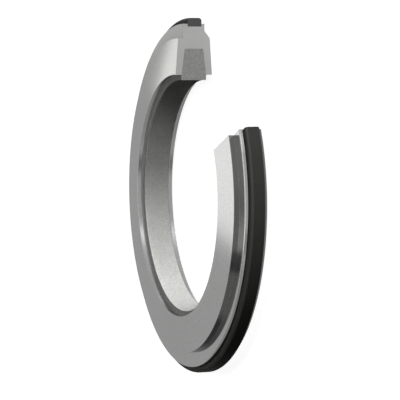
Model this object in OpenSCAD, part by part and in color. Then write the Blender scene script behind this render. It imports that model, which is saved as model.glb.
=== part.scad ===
// Felt seal for a shaft: a turned metal carrier ring with a felt ring in its bore
// and a rubber cord in the groove round its flange, shown with one sector cut away.
// The ring lies on its back face. Its axis is Z, and z = 0 is the plane it rests on.

/* [Shaft and cut] */
// Diameter of the shaft that the felt rubs on
shaft_d = 55; // [30:0.5:120]
// Angle of the sector that is cut away, 0 for the whole ring
cutaway_angle = 64.5; // [0:0.5:90]

/* [Carrier ring] */
// Width of the body at its bore
body_w = 9.2; // [8:0.1:14]
// Radial gap between the shaft and the metal bore
bore_gap = 1.25; // [0.6:0.05:3]
// Thickness of the metal between the felt groove and the shoulder
web_t = 2.5; // [1.5:0.1:5]
// Slope of the side faces of the body, in degrees
draft_angle = 4; // [0:0.5:6]

/* [Felt ring] */
// Width of the felt where it leaves the groove
felt_w = 6.2; // [5:0.1:6.8]
// Depth of the felt in the groove, measured from the metal bore
felt_depth = 6.2; // [3:0.1:8]
// Slope of each groove flank, in degrees
flank_angle = 7; // [3:0.5:9]
// Gap between the felt and the faces of its groove
felt_fit = 0.05; // [0.02:0.01:0.2]

/* [Flange] */
// Width of the flange between its square side faces
flange_w = 5.3; // [5:0.1:5.8]
// Height of the flange above the front shoulder
flange_h = 3.4; // [2.5:0.1:6]
// Height of the sloped shoulder at the back of the flange
slope_h = 1.7; // [0.5:0.1:2.2]

/* [Rubber ring] */
// Width of the rubber cord
rubber_w = 3.5; // [2.5:0.1:3.7]
// Height of the rubber cord above the flange
rubber_proud = 1.4; // [0.8:0.1:3]
// Distance of the cord behind the middle of the flange
rubber_shift = 0.15; // [0:0.05:0.3]
// Depth of the groove in the flange
groove_depth = 0.65; // [0.4:0.05:1.5]
// Radius on the outer corners of the rubber cord
rubber_corner_r = 0.75; // [0.2:0.05:0.8]
// Gap between the rubber cord and the faces of its groove
rubber_fit = 0.05; // [0.02:0.01:0.2]

/* [Hidden] */
$fn = 128;

// Radii from the shaft outwards
shaft_r = shaft_d / 2;
bore_r = shaft_r + bore_gap;
felt_top_r = bore_r + felt_depth;
shoulder_r = felt_top_r + web_t;
slope_r = shoulder_r + slope_h;
flange_r = shoulder_r + flange_h;
groove_r = flange_r - groove_depth;
rubber_r = flange_r + rubber_proud;

// Heights above the resting plane
mid_z = body_w / 2;
rubber_z = mid_z - rubber_shift;
draft = tan(draft_angle);
shoulder_drop = (shoulder_r - bore_r) * draft;
felt_top_w = felt_w - 2 * felt_depth * tan(flank_angle);
rubber_groove_w = rubber_w + 2 * rubber_fit;

// The felt groove is wider than the felt by the same gap on every face
groove_side = felt_fit / cos(flank_angle);
felt_groove_r = felt_top_r + felt_fit;
felt_groove_w = felt_w + 2 * groove_side;
felt_groove_top_w = felt_top_w + 2 * groove_side - 2 * felt_fit * tan(flank_angle);

// Turns a half section (x = radius, y = height) round the axis, less the cut sector.
// The cut lies in the middle of one quadrant, so the ring keeps its full width both ways.
module turned() {
    rotate([0, 0, 45 + cutaway_angle / 2])
        rotate_extrude(angle = 360 - cutaway_angle)
            children();
}

// Half section of the metal: body, front step, flange with its lands and back slope
module carrier_section() {
    back_face_z = mid_z - flange_w / 2;
    polygon([
        [bore_r, 0],
        [shoulder_r, shoulder_drop],
        [slope_r, back_face_z],
        [flange_r, back_face_z],
        [flange_r, body_w - back_face_z],
        [shoulder_r, body_w - back_face_z],
        [shoulder_r, body_w - shoulder_drop],
        [bore_r, body_w]
    ]);
}

// Half section of the tapered groove that grips the felt, open at the bore
module felt_groove_section() {
    polygon([
        [bore_r, mid_z - felt_groove_w / 2],
        [felt_groove_r, mid_z - felt_groove_top_w / 2],
        [felt_groove_r, mid_z + felt_groove_top_w / 2],
        [bore_r, mid_z + felt_groove_w / 2],
        [shaft_r, mid_z + felt_groove_w / 2],
        [shaft_r, mid_z - felt_groove_w / 2]
    ]);
}

// Half section of the shallow groove in the flange, open at the rim
module rubber_groove_section() {
    translate([groove_r - rubber_fit, rubber_z - rubber_groove_w / 2])
        square([rubber_r - groove_r + rubber_fit, rubber_groove_w]);
}

// Half section of the felt: a wedge in the groove and a straight lip on the shaft
module felt_section() {
    polygon([
        [shaft_r, mid_z - felt_w / 2],
        [bore_r, mid_z - felt_w / 2],
        [felt_top_r, mid_z - felt_top_w / 2],
        [felt_top_r, mid_z + felt_top_w / 2],
        [bore_r, mid_z + felt_w / 2],
        [shaft_r, mid_z + felt_w / 2]
    ]);
}

// Half section of the rubber cord: square on the groove floor, round at the outside
module rubber_section() {
    half_w = rubber_w / 2;
    round_x = rubber_r - rubber_corner_r;
    round_y = half_w - rubber_corner_r;
    translate([0, rubber_z]) {
        translate([groove_r, -half_w])
            square([round_x - groove_r, rubber_w]);
        translate([groove_r, -round_y])
            square([rubber_r - groove_r, 2 * round_y]);
        for (side = [-1, 1])
            translate([round_x, side * round_y])
                circle(r = rubber_corner_r);
    }
}

module carrier_ring() {
    color([0.66, 0.66, 0.67])
        turned()
            difference() {
                carrier_section();
                felt_groove_section();
                rubber_groove_section();
            }
}

module felt_ring() {
    color([0.55, 0.54, 0.52])
        turned()
            felt_section();
}

module rubber_ring() {
    color([0.12, 0.12, 0.13])
        turned()
            rubber_section();
}

carrier_ring();
felt_ring();
rubber_ring();
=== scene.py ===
# %% [markdown]
# # A felt shaft seal, cut open
#
# The object is a ring that keeps dirt out of a bearing housing. A turned metal carrier holds
# a ring of felt that rubs on the shaft, and a rubber cord round its flange seals it in the
# housing. One sector is cut away, so the section of all three shows.
#
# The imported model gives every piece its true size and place. This lesson gives each piece
# a finer surface and a finish, and sets up the light and the view.

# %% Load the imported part
import math

import bpy
import numpy as np
from mathutils import Matrix, Vector


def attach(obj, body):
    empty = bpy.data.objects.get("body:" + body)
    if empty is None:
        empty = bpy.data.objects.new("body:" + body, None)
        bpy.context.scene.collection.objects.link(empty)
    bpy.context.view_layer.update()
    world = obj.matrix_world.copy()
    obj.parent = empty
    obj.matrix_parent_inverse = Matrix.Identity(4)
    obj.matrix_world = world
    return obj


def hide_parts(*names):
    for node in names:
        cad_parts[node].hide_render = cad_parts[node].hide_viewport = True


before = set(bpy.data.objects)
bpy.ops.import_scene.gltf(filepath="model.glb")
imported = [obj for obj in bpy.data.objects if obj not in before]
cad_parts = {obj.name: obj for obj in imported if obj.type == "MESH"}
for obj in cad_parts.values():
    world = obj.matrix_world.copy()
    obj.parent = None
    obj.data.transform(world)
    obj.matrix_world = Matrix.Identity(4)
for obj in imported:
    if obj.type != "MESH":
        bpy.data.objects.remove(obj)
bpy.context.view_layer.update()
MM = 0.001

# %% [markdown]
# ## Measuring the frame
#
# A turned ring is known by its radii and heights. They could be typed in again, but the CAD
# meshes already hold them: every vertex of a turned solid lies on its section, so the smallest
# and largest radius and height of a node are true sizes. The cut sector is the widest gap
# between the directions in which the vertices lie.

# %% Radii, heights and the cut, read from the CAD nodes
def node_points(node):
    """All vertices of a CAD node, one row of x, y, z in metres for each."""
    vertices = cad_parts[node].data.vertices
    flat = np.empty(len(vertices) * 3, np.float32)
    vertices.foreach_get("co", flat)
    return flat.reshape(-1, 3).astype(float)


def radial_span(node):
    """Smallest and largest distance of a node's vertices from the ring's axis."""
    radius = np.hypot(*node_points(node)[:, :2].T)
    return radius.min(), radius.max()


def height_span(node):
    """Lowest and highest z of a node's vertices."""
    z = node_points(node)[:, 2]
    return z.min(), z.max()


def cut_edges(node):
    """Start and end angle of the metal that is left, counted round Z past the widest gap."""
    x, y = node_points(node)[:, :2].T
    angles = np.sort(np.arctan2(y, x) % math.tau)
    gaps = np.diff(angles, append=angles[0] + math.tau)
    widest = gaps.argmax()
    start = angles[widest] + gaps[widest]
    return start, start + math.tau - gaps[widest]


bore_r, flange_r = radial_span("carrier_ring")
shaft_r, felt_top_r = radial_span("felt_ring")
groove_r, rubber_r = radial_span("rubber_ring")
body_w = height_span("carrier_ring")[1]
felt_low, felt_high = height_span("felt_ring")
rubber_low, rubber_high = height_span("rubber_ring")
mid_z = body_w / 2
ring_start, ring_end = cut_edges("carrier_ring")
print("radii in mm:", [round(r / MM, 2) for r in (shaft_r, bore_r, felt_top_r, flange_r, rubber_r)])
print("ring runs from", round(math.degrees(ring_start), 2), "to", round(math.degrees(ring_end), 2))

# %% Sizes of the section that no outer limit of a node shows
web_t = 2.5 * MM
shoulder_r = felt_top_r + web_t
slope_h = 1.7 * MM
flange_w = 5.3 * MM
rubber_corner_r = 0.75 * MM
draft_degrees = 4
flank_degrees = 7
draft = math.tan(math.radians(draft_degrees))
flank = math.tan(math.radians(flank_degrees))
print("front face is", round((shoulder_r - bore_r) / MM, 2), "mm wide")

# %% [markdown]
# ## The camera
#
# In the picture the ring's axis lies level and the stepped front faces left. A ring can't
# stay on its rim, so here it lies on its back and the camera is rolled on its side instead:
# the picture's right points down at the floor. The view is set by a direction, a distance and
# a roll, which are easier to read and change than a matrix of numbers.

# %% Camera, from direction, distance, aim and roll
image_px = 400
focal_px = 2156.3
sensor_mm = 36.0
view_azimuth = math.radians(-7.843)
view_elevation = math.radians(19.746)
view_distance = 515.3 * MM
camera_roll = math.radians(91.6)
aim_right = 1.525 * MM
aim_up = -1.126 * MM


def direction(azimuth, elevation):
    """Unit vector at an angle round Z from +X, and an angle above the floor."""
    level = math.cos(elevation)
    return Vector((math.cos(azimuth) * level, math.sin(azimuth) * level, math.sin(elevation)))


def look_matrix(eye, target, roll):
    """Places an object at eye with its -Z axis on target, its top turned from level by roll."""
    forward = (target - eye).normalized()
    level_right = forward.cross(Vector((0, 0, 1))).normalized()
    level_up = level_right.cross(forward)
    up = level_up * math.cos(roll) + level_right * math.sin(roll)
    right = forward.cross(up)
    turn = Matrix((right, up, -forward)).transposed()
    return Matrix.Translation(eye) @ turn.to_4x4()


def make_camera(name):
    """A camera whose lens gives the focal length in pixels on a square picture."""
    data = bpy.data.cameras.new(name)
    data.sensor_width = sensor_mm
    data.lens = focal_px * sensor_mm / image_px
    camera = bpy.data.objects.new(name, data)
    bpy.context.scene.collection.objects.link(camera)
    middle = Vector((0, 0, mid_z))
    eye = middle + direction(view_azimuth, view_elevation) * view_distance
    first = look_matrix(eye, middle, camera_roll)
    aside = first.to_3x3() @ Vector((aim_right, aim_up, 0))
    camera.matrix_world = look_matrix(eye, middle + aside, camera_roll)
    bpy.context.scene.camera = camera
    return camera


camera = make_camera("photo_view")
print("camera stands at", [round(v, 4) for v in camera.location], "lens", round(camera.data.lens, 1))

# %% [markdown]
# ## Turned surfaces
#
# All three pieces are turned: a flat section carried round the axis. Blender has a Screw
# modifier for that, but worked out with arrays the section can first get small rounded edges,
# which catch the light as real machined edges do. Each corner of a section becomes an arc, with
# one more point on either side of it, so that smooth shading stays true on the flats.

# %% Outline with rounded corners
hold_gap = 0.02 * MM


def unit_rows(rows):
    """Each row of an array divided by its own length."""
    return rows / np.linalg.norm(rows, axis=1, keepdims=True)


def rounded_outline(section, steps=6):
    """Closed outline whose corners are arcs, as rows of radius and height.

    A row of the section holds a corner's radius and height, and the radius q of its arc. In a
    corner with half angle h the arc touches both sides at q / tan(h) from the corner, and its
    centre lies on the bisector at q / sin(h). The points between its two ends are a weighted mean
    of the end spokes, with weights sin((1 - s) w) and sin(s w) over sin(w).
    """
    corners, radii = np.split(np.array(section, float), [2], axis=1)
    back = unit_rows(np.roll(corners, 1, axis=0) - corners)
    ahead = unit_rows(np.roll(corners, -1, axis=0) - corners)
    half = np.arccos(np.clip((back * ahead).sum(1, keepdims=True), -1, 1)) / 2
    reach = radii / np.tan(half)
    centre = corners + unit_rows(back + ahead) * radii / np.sin(half)
    spokes = corners + back * reach - centre, corners + ahead * reach - centre
    sweep = (math.pi - 2 * half)[:, None]
    s = np.linspace(0, 1, steps)[None, :, None]
    weights = np.sin((1 - s) * sweep) / np.sin(sweep), np.sin(s * sweep) / np.sin(sweep)
    arcs = centre[:, None] + spokes[0][:, None] * weights[0] + spokes[1][:, None] * weights[1]
    before = (corners + back * (reach + hold_gap))[:, None]
    after = (corners + ahead * (reach + hold_gap))[:, None]
    return np.concatenate([before, arcs, after], axis=1).reshape(-1, 2)


# %% Section carried round the axis
ring_steps = 361
skin_slot, cut_slot, other_slot = range(3)


def carry_round(outline, angles):
    """Points of a section at each angle: (r cos a, r sin a, z), as an array of angles by points."""
    radius, height = outline.T
    x = np.cos(angles)[:, None] * radius
    y = np.sin(angles)[:, None] * radius
    return np.stack([x, y, np.broadcast_to(height, x.shape)], axis=-1)


def strip_faces(rows, columns):
    """Four-cornered faces of a grid whose columns close on themselves, as indices."""
    i, j = np.meshgrid(np.arange(rows - 1), np.arange(columns), indexing="ij")
    k = (j + 1) % columns
    here = i * columns
    ahead = here + columns
    return np.stack([here + j, ahead + j, ahead + k, here + k], axis=-1).reshape(-1, 4)


def add_piece(name, points, faces, slots, materials, smooth_angle=math.radians(35)):
    """A mesh object of these points and faces, smooth where faces meet below an angle."""
    mesh = bpy.data.meshes.new(name)
    mesh.from_pydata(points.reshape(-1, 3).tolist(), [], faces)
    for material in materials:
        mesh.materials.append(material)
    mesh.polygons.foreach_set("material_index", np.array(slots, np.int32))
    mesh.polygons.foreach_set("use_smooth", np.ones(len(faces), bool))
    mesh.set_sharp_from_angle(angle=smooth_angle)
    mesh.validate()
    piece = bpy.data.objects.new(name, mesh)
    bpy.context.scene.collection.objects.link(piece)
    return piece


def side_middles(outline):
    """Middle of each side of a closed outline, from its own point to the next one."""
    return (outline + np.roll(outline, -1, axis=0)) / 2


def turned_piece(name, outline, materials, angles, side_slots):
    """A section turned through these angles, with a flat face on both cut ends.

    side_slots is the number of the finish on each side of the outline, or one for all of them.
    """
    points = carry_round(outline, angles)
    count = len(outline)
    walls = strip_faces(len(angles), count).tolist()
    first_end = list(range(count))
    last_end = [(len(angles) - 1) * count + k for k in reversed(range(count))]
    slots = np.tile(np.broadcast_to(side_slots, count), len(angles) - 1)
    slots = np.append(slots, [cut_slot, cut_slot])
    return add_piece(name, points, walls + [first_end, last_end], slots, materials)


ring_angles = np.linspace(ring_start, ring_end, ring_steps)
print("turned pieces take", ring_steps, "steps of", round(math.degrees(ring_angles[1] - ring_angles[0]), 3))

# %% [markdown]
# ## Shader maths as Python sums
#
# A finish is a network of nodes. Drawn by hand it soon gets hard to read, and built in code one
# link at a time it is no better. Here a small class stands for one output of a node, and Python's
# own operators add the Math nodes, so a pattern reads like the formula it is.

# %% A socket that can be used in sums
class Wire:
    """One output socket. Sums and products of wires and numbers add Math nodes to its tree."""

    def __init__(self, tree, socket):
        self.tree = tree
        self.socket = socket

    def maths(self, operation, *values):
        """A Math node on these values."""
        sockets = dict(enumerate(values))
        return self.tree.node("ShaderNodeMath", {"operation": operation}, sockets)

    def __add__(self, other):
        return self.maths("ADD", self, other)

    def __sub__(self, other):
        return self.maths("SUBTRACT", self, other)

    def __rsub__(self, other):
        return self.maths("SUBTRACT", other, self)

    def __mul__(self, other):
        return self.maths("MULTIPLY", self, other)

    def __truediv__(self, other):
        return self.maths("DIVIDE", self, other)

    def __rtruediv__(self, other):
        return self.maths("DIVIDE", other, self)

    def __pow__(self, other):
        return self.maths("POWER", self, other)

    def __abs__(self):
        return self.maths("ABSOLUTE", self)

    __radd__ = __add__
    __rmul__ = __mul__

    def limited(self):
        """The value held between 0 and 1."""
        return self.tree.node("ShaderNodeClamp", {}, {"Value": self})

    def step(self, low, high):
        """A smooth rise from 0 at low to 1 at high."""
        settings = {"interpolation_type": "SMOOTHSTEP"}
        sockets = {"Value": self, "From Min": low, "From Max": high}
        return self.tree.node("ShaderNodeMapRange", settings, sockets)


class Tree:
    """A node tree, and the one method that adds nodes to it."""

    def __init__(self, node_tree):
        self.node_tree = node_tree
        node_tree.nodes.clear()

    def node(self, kind, settings, sockets, output=0):
        """Adds a node: its settings are set first, then its sockets get values or links."""
        made = self.node_tree.nodes.new(kind)
        for name, value in settings.items():
            setattr(made, name, value)
        for key, value in sockets.items():
            if isinstance(value, Wire):
                self.node_tree.links.new(value.socket, made.inputs[key])
            else:
                made.inputs[key].default_value = value
        return Wire(self, made.outputs[output]) if made.outputs else made

    def mix(self, factor, one, other):
        """Colour one where the factor is 0, the other where it is 1."""
        settings = {"data_type": "RGBA"}
        sockets = {0: factor, 6: one, 7: other}
        return self.node("ShaderNodeMix", settings, sockets, output=2)

    def noise(self, scale, detail, roughness, along=None):
        """Cloudy noise from 0 to 1 in space, or along one value; scale is in cells a metre."""
        sockets = {"Scale": scale, "Detail": detail, "Roughness": roughness}
        if along is None:
            sockets["Vector"] = self.place()
            return self.node("ShaderNodeTexNoise", {"noise_dimensions": "3D"}, sockets)
        sockets["W"] = along
        return self.node("ShaderNodeTexNoise", {"noise_dimensions": "1D"}, sockets)

    def place(self):
        """Object coordinates, which are the part's own frame in metres."""
        return self.node("ShaderNodeTexCoord", {}, {}, output="Object")

    def parts(self, vector):
        """The x, y and z of a vector."""
        node = self.node("ShaderNodeSeparateXYZ", {}, {"Vector": vector}).socket.node
        return [Wire(self, node.outputs[k]) for k in range(3)]

    def radius_and_height(self):
        """Distance from the ring's axis, and height above the floor."""
        x, y, z = self.parts(self.place())
        return (x * x + y * y) ** 0.5, z

    def turn(self, vector):
        """Angle of a vector round Z from +X, in radians."""
        x, y = self.parts(vector)[:2]
        return y.maths("ARCTAN2", y, x)

    def bump(self, height, distance, strength):
        """A normal that leans with a height map; distance is the relief in metres."""
        sockets = {"Height": height, "Distance": distance, "Strength": strength}
        return self.node("ShaderNodeBump", {}, sockets, output="Normal")


def grey(level, warm=0.0):
    """An opaque grey of a linear level, a little yellow where warm is above 0."""
    return (level, level, level * (1 - warm), 1.0)


def new_material(name):
    """An empty material and its tree."""
    material = bpy.data.materials.new(name)
    material.use_nodes = True
    return material, Tree(material.node_tree)


def finish_with(tree, sockets):
    """Ends a material in one Principled shader with these sockets."""
    shader = tree.node("ShaderNodeBsdfPrincipled", {}, sockets)
    tree.node("ShaderNodeOutputMaterial", {}, {"Surface": shader})


print("shader helpers are ready")

# %% [markdown]
# ## Turned metal
#
# A lathe leaves fine rings, because the tool moves a little with each turn. On a face they lie
# at growing radius, in a bore at growing height, so one value, radius plus height, runs across
# the rings everywhere, and noise along it gives rings of uneven depth. Polishing adds faint strokes
# that run outwards: noise along the angle. An image of a scratched plate could do the same, but it
# would have a seam and one fixed size. Both patterns stay very shallow, because the metal is bright
# enough to mirror its own step.
#
# Metal whitens where one looks along it. On the polished faces Specular Tint holds that back, as
# the photograph does. The bore is turned with a coarser tool, so it has a duller finish of its own,
# and it grows duller still beside the felt, whose fibres rub on it. The sawn section has a third
# finish.

# %% Material of the turned faces
def turned_metal(name, rough, edge_tint, rubbed=0.0):
    """Dark bright-turned metal: rings in roughness and relief, faint clouds in the tone."""
    material, tree = new_material(name)
    radius, height = tree.radius_and_height()
    across = radius + height
    feed = tree.noise(5200.0, detail=3.0, roughness=0.6, along=across)
    passes = tree.noise(1100.0, detail=3.0, roughness=0.6, along=across)
    clouds = tree.noise(70.0, detail=3.0, roughness=0.55)
    grain = tree.noise(2600.0, detail=2.0, roughness=0.6).step(0.3, 0.7)
    strokes = tree.noise(70.0, detail=4.0, roughness=0.65, along=tree.turn(tree.place()))
    tone = (passes * 0.25 + clouds * 0.25 + grain * 0.3 + strokes * 0.2).limited()
    from_felt = abs(height - mid_z) - (felt_high - felt_low) / 2
    dull = (1 - from_felt.step(0.2 * MM, 0.75 * MM)) * rubbed
    finish_with(tree, {
        "Base Color": tree.mix(tone, grey(0.254, 0.008), grey(0.367, 0.008)),
        "Metallic": 1.0,
        "Specular Tint": grey(edge_tint),
        "Roughness": rough + feed * 0.05 + strokes * 0.04 + dull,
        "Normal": tree.bump(feed * 0.5 + strokes * 0.6, distance=1.2e-6, strength=0.5),
    })
    return material


def cut_metal():
    """Fresh section through the metal: paler than the turned skin, satin, with fine saw lines, and painted
    light that makes it paler towards the outside.
    """
    material, tree = new_material("cut_metal")
    radius, height = tree.radius_and_height()
    lines = tree.noise(3600.0, detail=3.0, roughness=0.6, along=radius + height * 0.12)
    clouds = tree.noise(160.0, detail=3.0, roughness=0.5)
    # painted light: the section's tone rises from the bore out to the flange
    painted_light_outward = radius.step(bore_r, rubber_r)
    tone = lines * 0.4 + clouds * 0.25 + painted_light_outward * 0.35
    finish_with(tree, {
        "Base Color": tree.mix(tone, grey(0.342, 0.006), grey(0.466, 0.006)),
        "Metallic": 1.0,
        "Roughness": 0.42 + lines * 0.12,
        "Normal": tree.bump(lines, distance=3e-6, strength=0.5),
    })
    return material


metal_finishes = [
    turned_metal("turned_metal", rough=0.055, edge_tint=0.63),
    cut_metal(),
    turned_metal("bored_metal", rough=0.175, edge_tint=1.0, rubbed=0.4),
]
print("metal finishes:", [material.name for material in metal_finishes])

# %% [markdown]
# ## The carrier ring
#
# The carrier is one turned piece: a body with sloping side faces, a square step in front, a
# flange with a shallow groove round it, a sloped shoulder behind, and a tapered groove in the
# bore. The CAD solid has the same section with sharp corners. Here its edges are broken by a
# twentieth to a fifth of a millimetre, as a turner breaks them, so that they draw a line of light,
# and the wall of the step leans by a degree and a half, so that its foot is a little undercut.
# Bevelling the CAD mesh would be the other way, but a new section needs no clean-up. Each side of
# the section carries its own finish round the ring.

# %% Carrier ring
edge_r = 0.05 * MM
rim_r = 0.20 * MM
back_rim_r = 0.05 * MM
root_r = 0.005 * MM
step_lean = math.tan(math.radians(1.5))
felt_groove_w = felt_high - felt_low
felt_groove_top_w = felt_groove_w - 2 * (felt_top_r - bore_r) * flank
shoulder_drop = (shoulder_r - bore_r) * draft
flange_low = mid_z - flange_w / 2
flange_high = mid_z + flange_w / 2
step_top_z = body_w - shoulder_drop
step_root_r = shoulder_r - (step_top_z - flange_high) * step_lean

carrier_corners = [
    (bore_r, 0, edge_r),
    (shoulder_r, shoulder_drop, edge_r),
    (shoulder_r + slope_h, flange_low, root_r),
    (flange_r, flange_low, back_rim_r),
    (flange_r, rubber_low, root_r),
    (groove_r, rubber_low, root_r),
    (groove_r, rubber_high, root_r),
    (flange_r, rubber_high, root_r),
    (flange_r, flange_high, rim_r),
    (step_root_r, flange_high, root_r),
    (shoulder_r, step_top_z, edge_r),
    (bore_r, body_w, edge_r),
    (bore_r, mid_z + felt_groove_w / 2, root_r),
    (felt_top_r, mid_z + felt_groove_top_w / 2, root_r),
    (felt_top_r, mid_z - felt_groove_top_w / 2, root_r),
    (bore_r, mid_z - felt_groove_w / 2, root_r),
]
carrier_outline = rounded_outline(carrier_corners)
in_bore = side_middles(carrier_outline)[:, 0] < bore_r + edge_r / 2
carrier_slots = np.where(in_bore, other_slot, skin_slot)
carrier = turned_piece("carrier_body", carrier_outline, metal_finishes, ring_angles, carrier_slots)
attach(carrier, "root")
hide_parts("carrier_ring")
print("carrier_body has", len(carrier.data.polygons), "faces")

# %% [markdown]
# ## The rubber cord
#
# The cord is moulded black rubber, square on the groove floor and rounded outside. Rubber is
# rough and hardly shines, so its form shows by shading alone, and by the round corners, where a
# paler tone is painted on as a highlight. The painted highlight follows the height above the
# cord's middle, which says where a corner is. The cut end is greyer than the moulded skin,
# because a cut lays the filler bare.

# %% Rubber finishes
def moulded_rubber():
    """Black rubber with a fine mould grain, painted paler along its round corners as a highlight."""
    material, tree = new_material("moulded_rubber")
    height = tree.radius_and_height()[1]
    grain = tree.noise(5000.0, detail=3.0, roughness=0.6)
    clouds = tree.noise(140.0, detail=3.0, roughness=0.5)
    # painted highlight: a paler tone in a band along each round corner
    corner_height = (rubber_high - rubber_low) / 2 - rubber_corner_r * 0.4
    from_corner = abs(abs(height - (rubber_low + rubber_high) / 2) - corner_height)
    painted_corner_highlight = (1 - from_corner.step(0.0, 0.35 * MM)) * (0.7 + clouds * 0.6)
    black = tree.mix(clouds, grey(0.034, 0.06), grey(0.047, 0.06))
    finish_with(tree, {
        "Base Color": tree.mix((painted_corner_highlight * 0.8).limited(), black, grey(0.068, 0.05)),
        "Roughness": 0.55 + grain * 0.12 + clouds * 0.06,
        "Specular IOR Level": 0.015,
        "Normal": tree.bump(grain, distance=6e-6, strength=0.6),
    })
    return material


def cut_rubber():
    """Cut end of the cord: dark grey and dull, with specks of filler."""
    material, tree = new_material("cut_rubber")
    specks = tree.noise(4200.0, detail=2.0, roughness=0.6).step(0.55, 0.72)
    grain = tree.noise(9000.0, detail=2.0, roughness=0.5)
    finish_with(tree, {
        "Base Color": tree.mix(specks, grey(0.08), grey(0.115)),
        "Roughness": 0.78 + grain * 0.12,
        "Specular IOR Level": 0.16,
        "Normal": tree.bump(grain, distance=6e-6, strength=0.6),
    })
    return material


rubber_finishes = [moulded_rubber(), cut_rubber()]
print("rubber finishes:", [material.name for material in rubber_finishes])

# %% Rubber cord
rubber_inner_r = 0.08 * MM
rubber_arc_steps = 10
rubber_corners = [
    (groove_r, rubber_low, rubber_inner_r),
    (rubber_r, rubber_low, rubber_corner_r),
    (rubber_r, rubber_high, rubber_corner_r),
    (groove_r, rubber_high, rubber_inner_r),
]
rubber_outline = rounded_outline(rubber_corners, rubber_arc_steps)
cord = turned_piece("rubber_cord", rubber_outline, rubber_finishes, ring_angles, skin_slot)
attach(cord, "root")
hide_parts("rubber_ring")
print("rubber_cord has", len(cord.data.polygons), "faces")

# %% [markdown]
# ## The felt ring
#
# Felt is pressed wool: no weave, only fibres lying every way. Its form is a wedge in the groove
# and a straight lip that stands in from the bore. A hair system could grow each fibre, but at this
# size they are finer than a pixel. So the colour is a grey broken up by wisps, which are the places
# where a noise passes its middle value: such lines wander and fork as fibres do. The same wisps
# give the relief. The bore is pale and the cut darker. The sides are darker still, as painted
# shade, and the pale bore felt reaches round the lip's rounded edge as a painted highlight.

# %% Felt finishes
def pressed_felt(name, dark, pale, relief):
    """Grey felt between two tones: wisps of two sizes and dark flecks, matt all over."""
    material, tree = new_material(name)
    coarse = tree.noise(1300.0, detail=4.0, roughness=0.65)
    fine = tree.noise(3600.0, detail=3.0, roughness=0.6)
    wisps = (1 - abs(coarse - 0.5) * 9.0).limited()
    fibres = (1 - abs(fine - 0.5) * 7.0).limited()
    flecks = tree.noise(2300.0, detail=2.0, roughness=0.5).step(0.56, 0.74)
    clouds = tree.noise(220.0, detail=3.0, roughness=0.55)
    tone = (wisps * 0.33 + fibres * 0.5 + clouds * 0.17).limited()
    base = tree.mix(tone, grey(dark, 0.03), grey(pale, 0.03))
    finish_with(tree, {
        "Base Color": tree.mix(flecks * 0.3, base, grey(dark * 0.7, 0.03)),
        "Roughness": 0.95,
        "Specular IOR Level": 0.0,
        "Normal": tree.bump(wisps * 0.5 + fibres * 0.5, distance=relief, strength=0.8),
    })
    return material


felt_finishes = [
    pressed_felt("pressed_felt", dark=0.49, pale=0.78, relief=95e-6),
    pressed_felt("cut_felt", dark=0.2, pale=0.357, relief=30e-6),
    # painted shade: the sides of the felt get darker tones than the cut
    pressed_felt("side_felt_painted_shade", dark=0.165, pale=0.29, relief=30e-6),
]
print("felt finishes:", [material.name for material in felt_finishes])

# %% Felt ring
felt_edge_r = 0.14 * MM
felt_root_r = 0.08 * MM
felt_corners = [
    (shaft_r, felt_low, felt_edge_r),
    (bore_r, felt_low, felt_root_r),
    (felt_top_r, mid_z - felt_groove_top_w / 2, felt_root_r),
    (felt_top_r, mid_z + felt_groove_top_w / 2, felt_root_r),
    (bore_r, felt_high, felt_root_r),
    (shaft_r, felt_high, felt_edge_r),
]
felt_outline = rounded_outline(felt_corners)
# painted highlight: the pale bore felt covers most of the rounded inner edge and draws a pale line; the
# other sides take the darker side felt, as painted shade
off_bore = side_middles(felt_outline)[:, 0] > shaft_r + felt_edge_r * 0.3
felt_slots = np.where(off_bore, other_slot, skin_slot)
felt = turned_piece("felt_strip", felt_outline, felt_finishes, ring_angles, felt_slots)
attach(felt, "root")
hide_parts("felt_ring")
print("felt_strip has", len(felt.data.polygons), "faces")

# %% [markdown]
# ## Floor and surroundings
#
# The picture's ground is plain white. The floor glows white for the camera by a Light Path node,
# and keeps a soft shadow because part of its white is ordinary matt paint. For scattered light it
# is dark, so that it doesn't fill the shaded side of the felt. Mirrors look through it to the
# surroundings, except close round the ring, where a grey band that glows only for them is a
# painted shadow of the ring.
#
# Polished metal has no look of its own: it shows what stands round it. So mirrors see surroundings
# that are white like the sky of a photo tent, with dark gaps where its screens don't meet, and
# brighter strips. An image of a studio is the usual way, but a few soft patches are enough here. A
# patch lies at a direction round the axis and at one of four heights: the step's wall mirrors the
# upper sky and its image in the flange the lower sky, while the bore mirrors the far ground and the
# flange's rim the ground close by.

# %% White floor
def ray_kinds(tree):
    """Wires that are 1 for a ray from the camera, from a mirror, and through glass."""
    path = tree.node("ShaderNodeLightPath", {}, {}).socket.node
    kinds = ("Is Camera Ray", "Is Glossy Ray", "Is Transmission Ray")
    return [Wire(tree, path.outputs[kind]) for kind in kinds]


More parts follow.
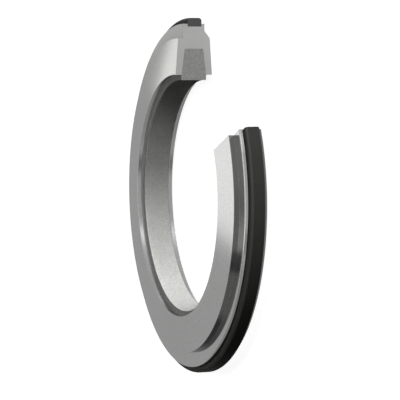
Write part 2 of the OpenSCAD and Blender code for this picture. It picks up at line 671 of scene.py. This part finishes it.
def white_floor():
    """Floor paint: a glow of nearly 1 and a matt part that keeps the shadow.

    In mirrors it is clear, but for a grey band from 43 to 54 mm round the axis, a painted shadow.
    """
    material, tree = new_material("white_floor")
    radius = tree.radius_and_height()[0]
    far = radius.step(0.25, 1.5)
    white = tree.mix(far, grey(0.925), grey(1.0))
    glow = tree.node("ShaderNodeEmission", {}, {"Color": white})
    matt = tree.node("ShaderNodeBsdfDiffuse", {}, {"Color": grey(0.3)})
    seen = tree.node("ShaderNodeAddShader", {}, {0: glow, 1: matt})
    unseen = tree.node("ShaderNodeBsdfDiffuse", {}, {"Color": grey(0.03)})
    camera_ray, mirror_ray, glass_ray = ray_kinds(tree)
    direct = (camera_ray + glass_ray).limited()
    paint = tree.node("ShaderNodeMixShader", {}, {0: direct, 1: unseen, 2: seen})
    # painted shadow: a grey glow that only mirrors see, in a band round the ring
    shaded = radius.step(43 * MM, 44 * MM) * (1 - radius.step(48 * MM, 54 * MM))
    clear = tree.node("ShaderNodeBsdfTransparent", {}, {})
    shadow = tree.node("ShaderNodeEmission", {}, {"Color": grey(0.5)})
    mirrored = tree.node("ShaderNodeMixShader", {}, {0: shaded, 1: clear, 2: shadow})
    surface = tree.node("ShaderNodeMixShader", {}, {0: mirror_ray, 1: paint, 2: mirrored})
    tree.node("ShaderNodeOutputMaterial", {}, {"Surface": surface})
    return material


floor_half = 6.0
floor_points = np.array([(-1, -1, 0), (1, -1, 0), (1, 1, 0), (-1, 1, 0)], float) * floor_half
floor = add_piece("floor", floor_points, [[0, 1, 2, 3]], [0], [white_floor()])
print("floor is", 2 * floor_half, "m wide")


# %% White surroundings with gaps and strips
def patch(turn, middle, half):
    """1 inside a range of directions round Z, falling to 0 at its soft ends, in degrees."""
    return 1 - abs(turn - middle).step(half * 0.6, half * 1.4)


def strip(turn, start, end):
    """1 from the start of a range of directions round Z, fading slowly towards its end."""
    return turn.step(start - 3, start + 6) * (1 - turn.step(start + 6, end))


def mirrored_light(tree):
    """Brightness of the surroundings in mirrors: 1, less the gaps and plus the lights of a direction.

    The height of a direction is its z, the sine of its angle above the floor.
    """
    ray = tree.node("ShaderNodeTexCoord", {}, {}, output="Generated")
    turn = tree.turn(ray) * math.degrees(1)
    z = tree.parts(ray)[2]
    over = z.step(-0.05, 0.05)
    upper = z.step(0.33, 0.39)
    top = z.step(0.45, 0.65)
    close = 1 - z.step(-0.362, -0.346)
    sky_gaps = patch(turn, -85, 24) * 0.17 + patch(turn, -58, 8) * 0.6
    wide_gap = patch(turn, -131, 22) * (0.4 + upper * 0.5)
    sky_light = patch(turn, 18, 24) * 0.25
    lower_light = strip(turn, -50, -14) * 1.2 + patch(turn, 0, 36) * 0.12
    sky = sky_light + lower_light * (1 - upper) - sky_gaps - wide_gap
    far_gaps = patch(turn, -40, 7.5) * 0.98 + patch(turn, -100, 40) * 0.28
    far_light = strip(turn, 20, 48) * 1.9 + strip(turn, 20, 120) * 0.3 + patch(turn, 142, 34) * 0.8
    close_gaps = patch(turn, -110, 50) * 0.45 + patch(turn, 34, 12) * 0.45
    far = (far_light - far_gaps) * (1 - over - close)
    return 1 + sky * over * (1 - top) + far - close_gaps * close


def white_world(ambient):
    """Surroundings: white to the camera, white with gaps to mirrors, faint to matt surfaces."""
    world = bpy.data.worlds.new("white_room")
    world.use_nodes = True
    tree = Tree(world.node_tree)
    camera_ray, mirror_ray, glass_ray = ray_kinds(tree)
    level = ambient + camera_ray + glass_ray + mirror_ray * mirrored_light(tree)
    glow = tree.node("ShaderNodeBackground", {}, {"Color": grey(1.0), "Strength": level})
    tree.node("ShaderNodeOutputWorld", {}, {"Surface": glow})
    bpy.context.scene.world = world
    return world


white_room = white_world(ambient=0.001)
print("surroundings use", len(white_room.node_tree.nodes), "nodes")

# %% [markdown]
# ## Lamps
#
# Felt has no shine, so its shading tells where the light stands: low, wide, and shining in through
# the cut. A weaker lamp at the side, one overhead and one straight above lift what faces up. They
# are hidden from mirrors, where they would show as bright bars.
#
# For the metal it is the other way round: it shows only what it mirrors, so three softboxes stand
# behind the ring, where the sloping front face sends the camera's gaze. Two of them lean, so that
# their edges cross the face aslant and fade, as on the real ring. A last lamp is seen only in
# mirrors, and draws the line along the rim. Sun lamps would be simpler, but they have no edges.

# %% Lamps for felt and metal
def softbox(name, azimuth, elevation, size, level, distance=1.0, mirrored=False,
            lights_matt=True, lean=0, warm=0.0):
    """A rectangular lamp facing the ring; level is how bright white paint facing it would look.

    Light that falls on the ring is power / (pi distance^2), and matt white sends back that over pi.
    """
    data = bpy.data.lights.new(name, "AREA")
    data.shape = "RECTANGLE"
    data.size, data.size_y = size
    data.energy = level * (math.pi * distance) ** 2
    data.color = grey(1.0, warm)[:3]
    lamp = bpy.data.objects.new(name, data)
    bpy.context.scene.collection.objects.link(lamp)
    middle = Vector((0, 0, mid_z))
    eye = middle + direction(math.radians(azimuth), math.radians(elevation)) * distance
    lamp.matrix_world = look_matrix(eye, middle, math.radians(lean))
    lamp.visible_camera = False
    lamp.visible_glossy = mirrored
    lamp.visible_diffuse = lights_matt
    return lamp


def mirror_box(name, azimuth, elevation, size, glare, distance=1.2, lean=0, warm=0.0):
    """A softbox for mirrors; glare is how bright it looks in a perfect one.

    Its level is the glare times its own area over pi distance^2.
    """
    level = glare * size[0] * size[1] / (math.pi * distance ** 2)
    return softbox(name, azimuth, elevation, size, level, distance, mirrored=True, lean=lean, warm=warm)


lamps = [
    softbox("key", azimuth=48, elevation=2.2, size=(0.73, 0.055), level=1.05),
    softbox("side_fill", azimuth=28, elevation=18, size=(0.54, 0.12), level=0.30),
    softbox("overhead", azimuth=30, elevation=60, size=(0.7, 0.4), level=0.16),
    softbox("front_fill", azimuth=70, elevation=84, size=(0.2, 0.2), level=0.20),
    softbox("rim_light", azimuth=-5, elevation=60, size=(1.1, 0.4), level=0.56,
            mirrored=True, lights_matt=False),
    mirror_box("high_softbox", azimuth=168.1, elevation=31.7, size=(0.259, 0.21), glare=1.5, lean=45),
    mirror_box("strip_softbox", azimuth=165.68, elevation=18.4, size=(0.73, 0.23), glare=1.75,
               distance=6.0, lean=53, warm=0.06),
    mirror_box("edge_softbox", azimuth=171.6, elevation=21.9, size=(0.128, 0.109), glare=1.5),
]
print("lamp power in watts:", {lamp.name: round(lamp.data.energy, 2) for lamp in lamps})

# %% Picture settings
bpy.context.scene.view_settings.view_transform = "Standard"
